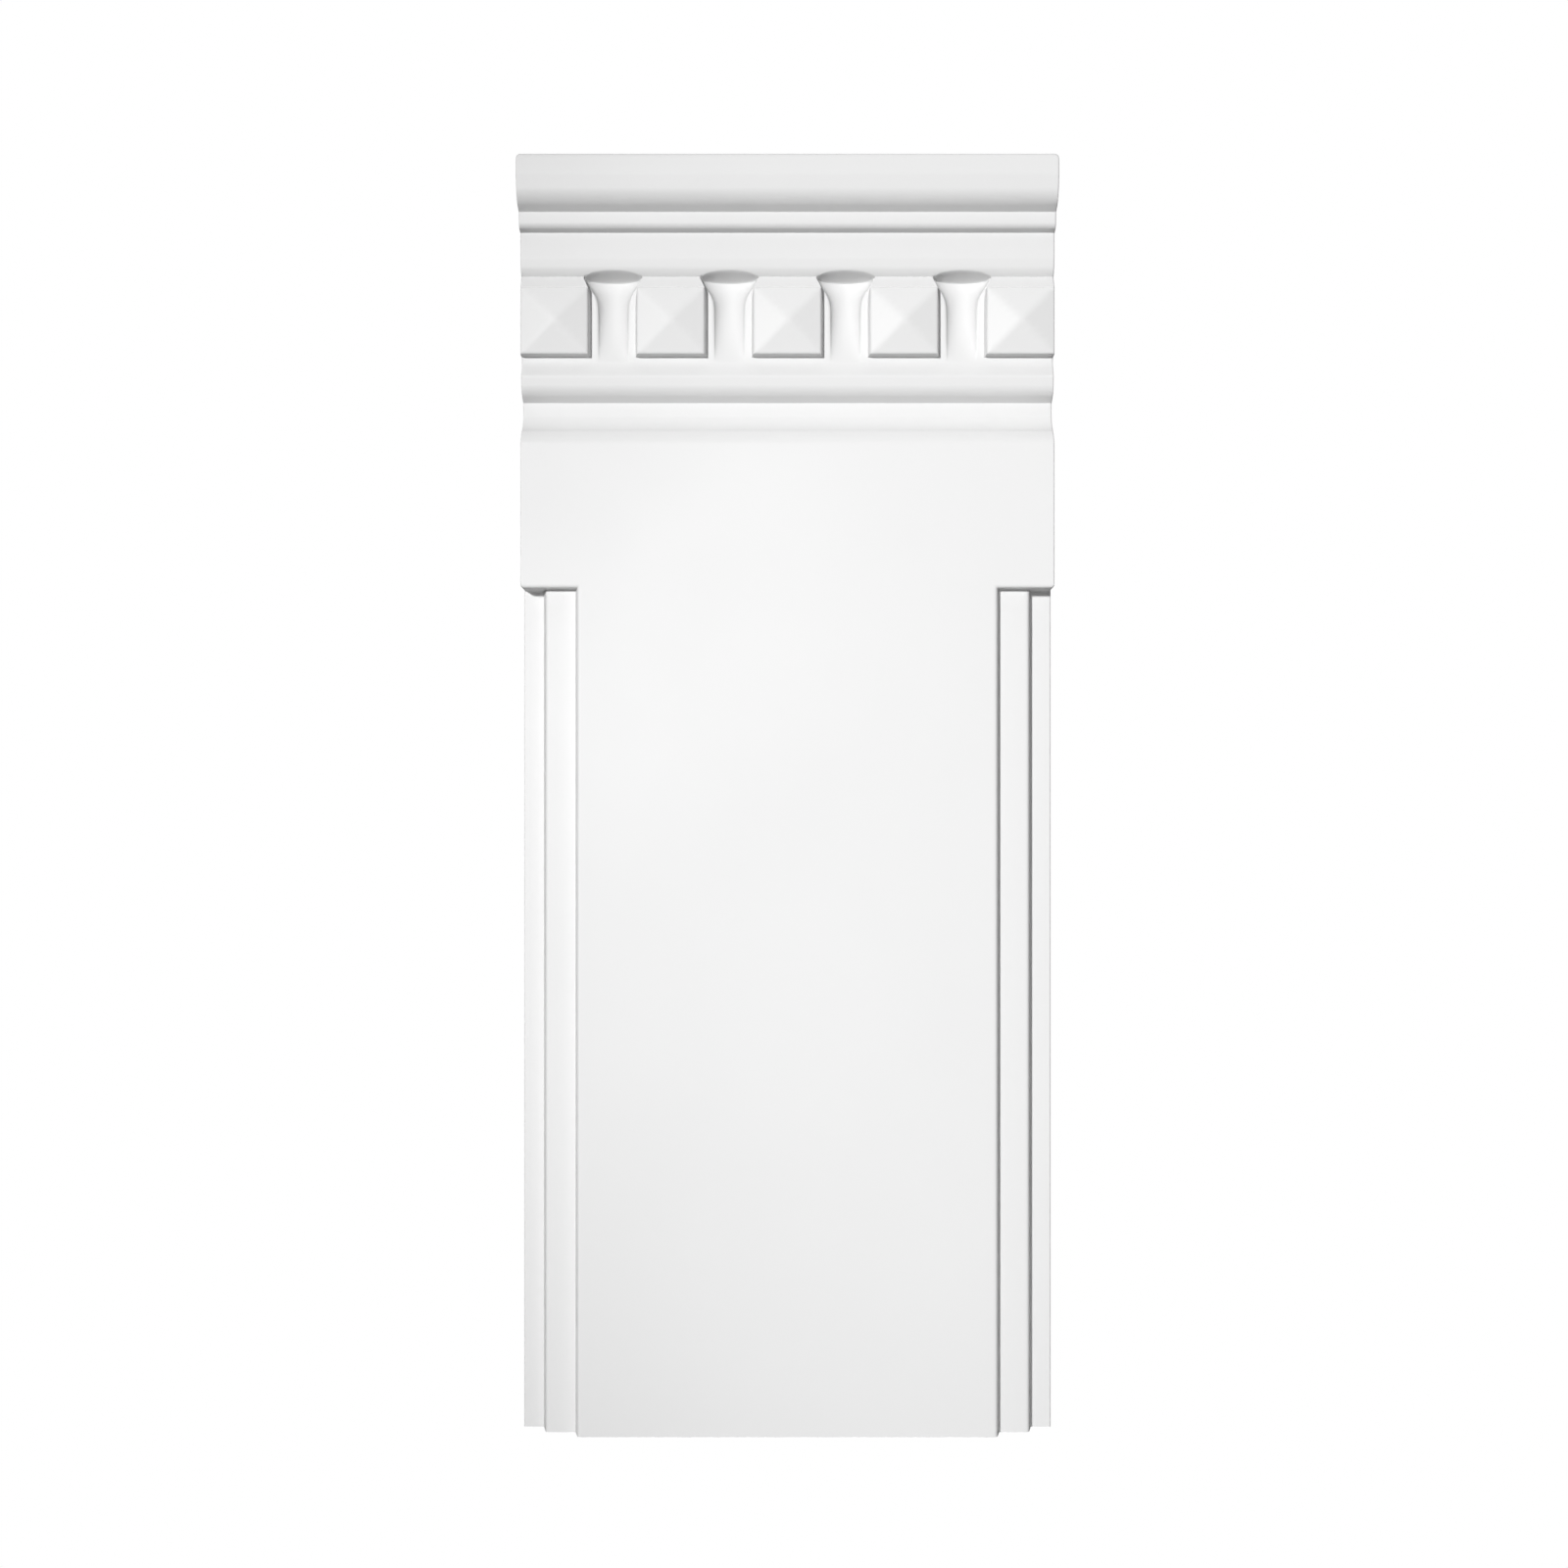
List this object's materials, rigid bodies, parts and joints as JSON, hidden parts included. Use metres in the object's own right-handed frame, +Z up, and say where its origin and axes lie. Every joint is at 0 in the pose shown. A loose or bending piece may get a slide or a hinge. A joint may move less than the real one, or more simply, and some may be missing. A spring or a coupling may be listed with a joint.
{
  "type": "wall pilaster head and upper shaft",
  "caption": "White moulded wall pilaster with a stepped flat shaft, plain frieze, hollow neck, a course of diamond-point blocks and scoops, fascia, bead and crown. Flat back.",
  "frame": {"origin": "middle of the flat back, on the centre line at half the height, where the piece is fixed to the wall", "axes": "+Z up along the shaft, +Y into the wall, so the front faces -Y, +X to the right as seen from the front"},
  "size_m": [0.251, 0.0433, 0.595],
  "materials": {
    "primer": "smooth white primer with a soft satin sheen"
  },
  "bodies": {
    "root": {"pilaster": "primer"}
  },
  "joints": []
}
